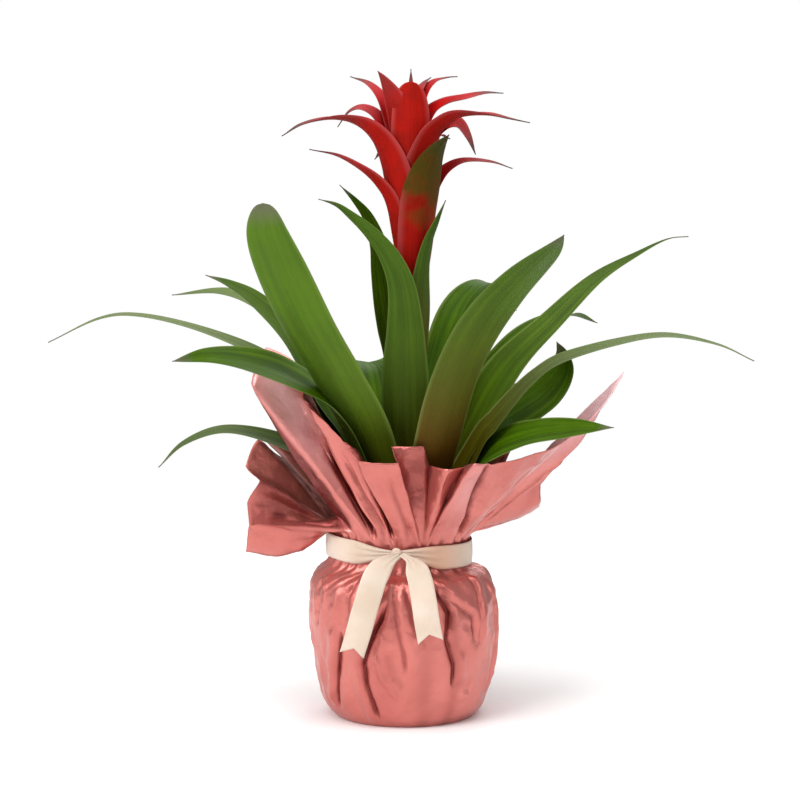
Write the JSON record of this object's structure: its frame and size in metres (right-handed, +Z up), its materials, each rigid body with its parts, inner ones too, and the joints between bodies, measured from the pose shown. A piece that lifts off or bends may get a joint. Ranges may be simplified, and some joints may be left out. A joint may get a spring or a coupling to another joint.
{
  "type": "potted bromeliad",
  "caption": "Potted bromeliad with a rosette of scarlet bracts over long green strap leaves, its nursery pot wrapped in satin rose-pink metallic film tied with a cream ribbon",
  "frame": {"origin": "centre of the wrapped pot's flat underside", "axes": "+Z up; +X to the right and -Y towards the viewer in the picture"},
  "size_m": [0.5227, 0.3783, 0.497],
  "materials": {
    "pot_plastic": "matte",
    "soil": "matte",
    "film": "satin",
    "satin": "satin",
    "stem_green": "matte",
    "bract_red": "satin",
    "leaf_green": "gloss"
  },
  "bodies": {
    "root": {"nursery_pot": "pot_plastic", "potting_soil": "soil", "film_wrap": "film", "ribbon": "satin", "stem": "stem_green", "flower_head": "bract_red", "leaf_front_bract": "leaf_green", "leaf_right_bract": "leaf_green", "leaf_left_bract": "leaf_green", "leaf_front_left": "leaf_green", "leaf_front_right": "leaf_green", "leaf_right_high": "leaf_green", "leaf_back_right": "leaf_green", "leaf_right_behind": "leaf_green", "leaf_right_long": "leaf_green", "leaf_right_curled": "leaf_green", "leaf_right_low": "leaf_green", "leaf_left_mid": "leaf_green", "leaf_left_pale": "leaf_green", "leaf_left_long": "leaf_green", "leaf_left_low": "leaf_green", "leaf_left_droop": "leaf_green", "leaf_back_left": "leaf_green", "leaf_back_high": "leaf_green", "leaf_back_far_left": "leaf_green", "leaf_back_low": "leaf_green"}
  },
  "joints": []
}
